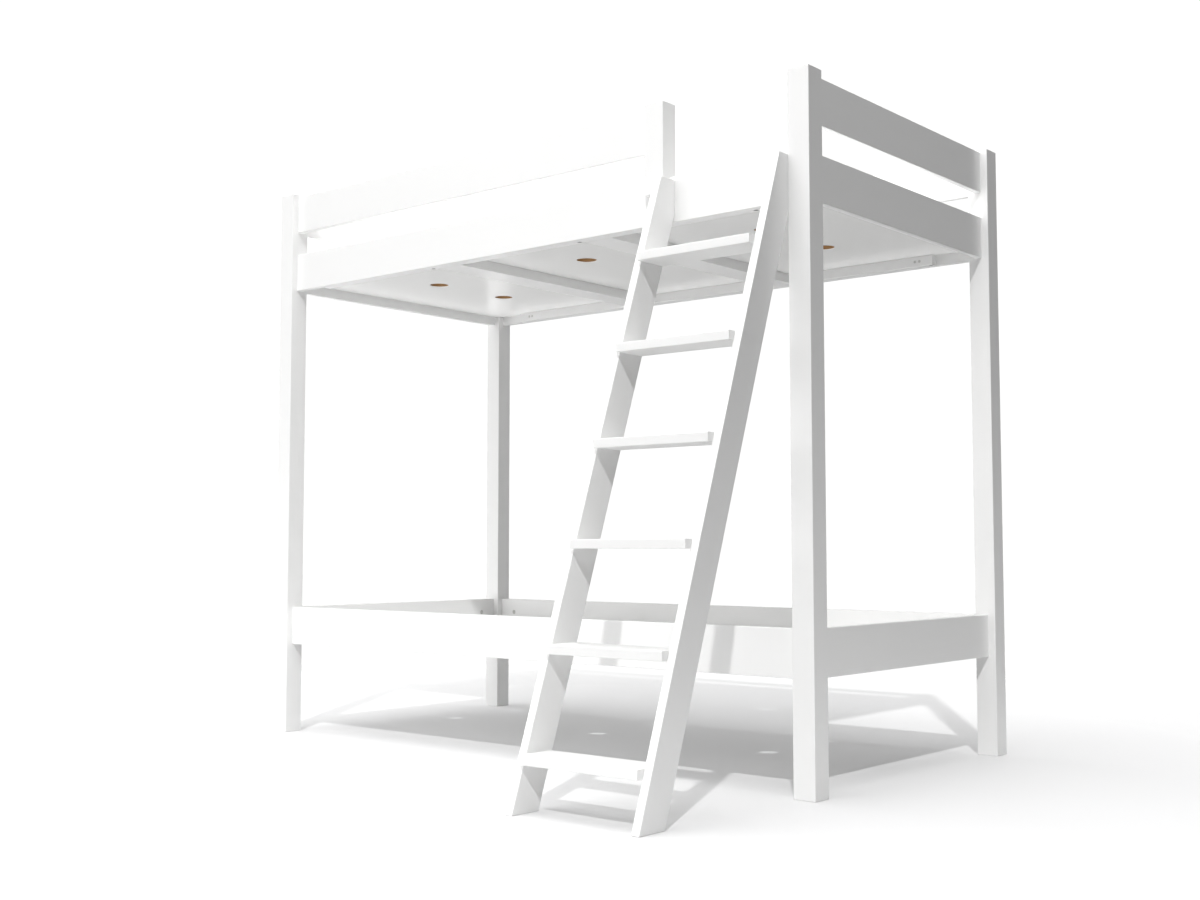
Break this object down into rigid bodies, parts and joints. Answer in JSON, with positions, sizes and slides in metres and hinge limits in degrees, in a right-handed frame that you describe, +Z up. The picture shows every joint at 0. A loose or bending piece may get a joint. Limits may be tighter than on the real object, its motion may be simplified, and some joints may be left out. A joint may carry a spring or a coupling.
{
  "type": "bunk bed with ladder",
  "caption": "White wooden bunk bed with a fixed slanted ladder at one end of its long side, guard boards round the upper bunk and lift-out ventilated base panels.",
  "frame": {"origin": "on the floor, under the middle of the whole object's box, ladder included", "axes": "+X along the bed from the plain end to the ladder end, +Y from the ladder side to the rear, +Z up"},
  "size_m": [2.02, 1.5936, 1.735],
  "materials": {
    "white_lacquered_pine": "smooth satin white lacquer on solid pine, eased edges",
    "white_lacquered_panel": "satin white lacquer on plywood, raw wood inside the ventilation holes",
    "beech_dowel": "raw fluted beech",
    "zinc_steel": "zinc plated",
    "dark_cam": "dark cast zinc"
  },
  "bodies": {
    "frame": {"beam_screws": "zinc_steel", "board_dowels": "beech_dowel", "cam_studs": "zinc_steel", "connector_nuts": "zinc_steel", "connector_studs": "zinc_steel", "guard_front": "white_lacquered_pine", "guard_left": "white_lacquered_pine", "guard_post": "white_lacquered_pine", "guard_post_screws": "zinc_steel", "guard_rear": "white_lacquered_pine", "guard_right": "white_lacquered_pine", "ladder_screws": "zinc_steel", "ladder_stile_left": "white_lacquered_pine", "ladder_stile_right": "white_lacquered_pine", "ladder_tread_1": "white_lacquered_pine", "ladder_tread_2": "white_lacquered_pine", "ladder_tread_3": "white_lacquered_pine", "ladder_tread_4": "white_lacquered_pine", "ladder_tread_5": "white_lacquered_pine", "ladder_tread_6": "white_lacquered_pine", "ledger_cams": "dark_cam", "ledger_screws": "zinc_steel", "lower_beam_left": "white_lacquered_pine", "lower_beam_right": "white_lacquered_pine", "lower_ledger_front": "white_lacquered_pine", "lower_ledger_rear": "white_lacquered_pine", "lower_rail_front": "white_lacquered_pine", "lower_rail_left": "white_lacquered_pine", "lower_rail_rear": "white_lacquered_pine", "lower_rail_right": "white_lacquered_pine", "post_front_left": "white_lacquered_pine", "post_front_right": "white_lacquered_pine", "post_rear_left": "white_lacquered_pine", "post_rear_right": "white_lacquered_pine", "tread_dowels": "beech_dowel", "upper_beam_left": "white_lacquered_pine", "upper_beam_right": "white_lacquered_pine", "upper_ledger_front": "white_lacquered_pine", "upper_ledger_rear": "white_lacquered_pine", "upper_rail_front": "white_lacquered_pine", "upper_rail_left": "white_lacquered_pine", "upper_rail_rear": "white_lacquered_pine", "upper_rail_right": "white_lacquered_pine"},
    "lower_panel_left": {"lower_panel_left": "white_lacquered_panel"},
    "lower_panel_middle": {"lower_panel_middle": "white_lacquered_panel"},
    "lower_panel_right": {"lower_panel_right": "white_lacquered_panel"},
    "upper_panel_left": {"upper_panel_left": "white_lacquered_panel"},
    "upper_panel_middle": {"upper_panel_middle": "white_lacquered_panel"},
    "upper_panel_right": {"upper_panel_right": "white_lacquered_panel"}
  },
  "joints": [
    {"name": "lower_panel_left_lift", "type": "slide", "parent": "frame", "child": "lower_panel_left", "axis": [0, 0, 1], "range_m": [0, 0.3]},
    {"name": "lower_panel_middle_lift", "type": "slide", "parent": "frame", "child": "lower_panel_middle", "axis": [0, 0, 1], "range_m": [0, 0.3]},
    {"name": "lower_panel_right_lift", "type": "slide", "parent": "frame", "child": "lower_panel_right", "axis": [0, 0, 1], "range_m": [0, 0.3]},
    {"name": "upper_panel_left_lift", "type": "slide", "parent": "frame", "child": "upper_panel_left", "axis": [0, 0, 1], "range_m": [0, 0.3]},
    {"name": "upper_panel_middle_lift", "type": "slide", "parent": "frame", "child": "upper_panel_middle", "axis": [0, 0, 1], "range_m": [0, 0.3]},
    {"name": "upper_panel_right_lift", "type": "slide", "parent": "frame", "child": "upper_panel_right", "axis": [0, 0, 1], "range_m": [0, 0.3]}
  ]
}
